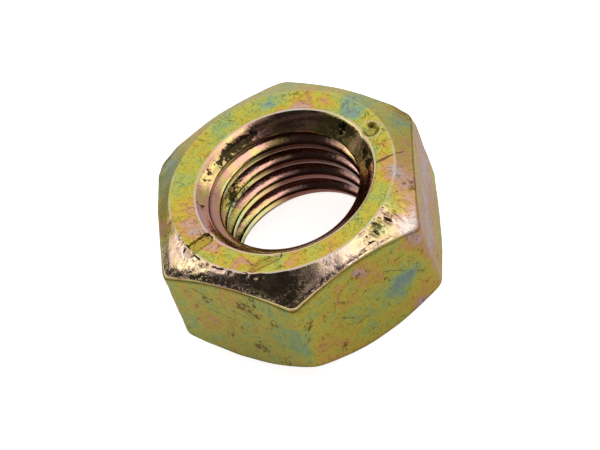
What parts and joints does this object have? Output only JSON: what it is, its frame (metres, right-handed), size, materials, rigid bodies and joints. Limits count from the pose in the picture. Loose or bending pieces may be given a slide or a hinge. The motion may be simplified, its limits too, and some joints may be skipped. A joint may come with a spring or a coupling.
{
  "type": "hex nut",
  "caption": "Hexagon nut with both faces chamfered and a countersunk threaded hole, yellow zinc plated.",
  "frame": {"origin": "centre of the lower bearing face, on the thread's axis", "axes": "+Z along the thread's axis, away from the lower bearing face; two opposite flats face along X"},
  "size_m": [0.019, 0.0216, 0.01],
  "materials": {
    "yellow_zinc": "steel, zinc plated and yellow passivated, iridescent and slightly worn"
  },
  "bodies": {
    "root": {"nut": "yellow_zinc"}
  },
  "joints": []
}
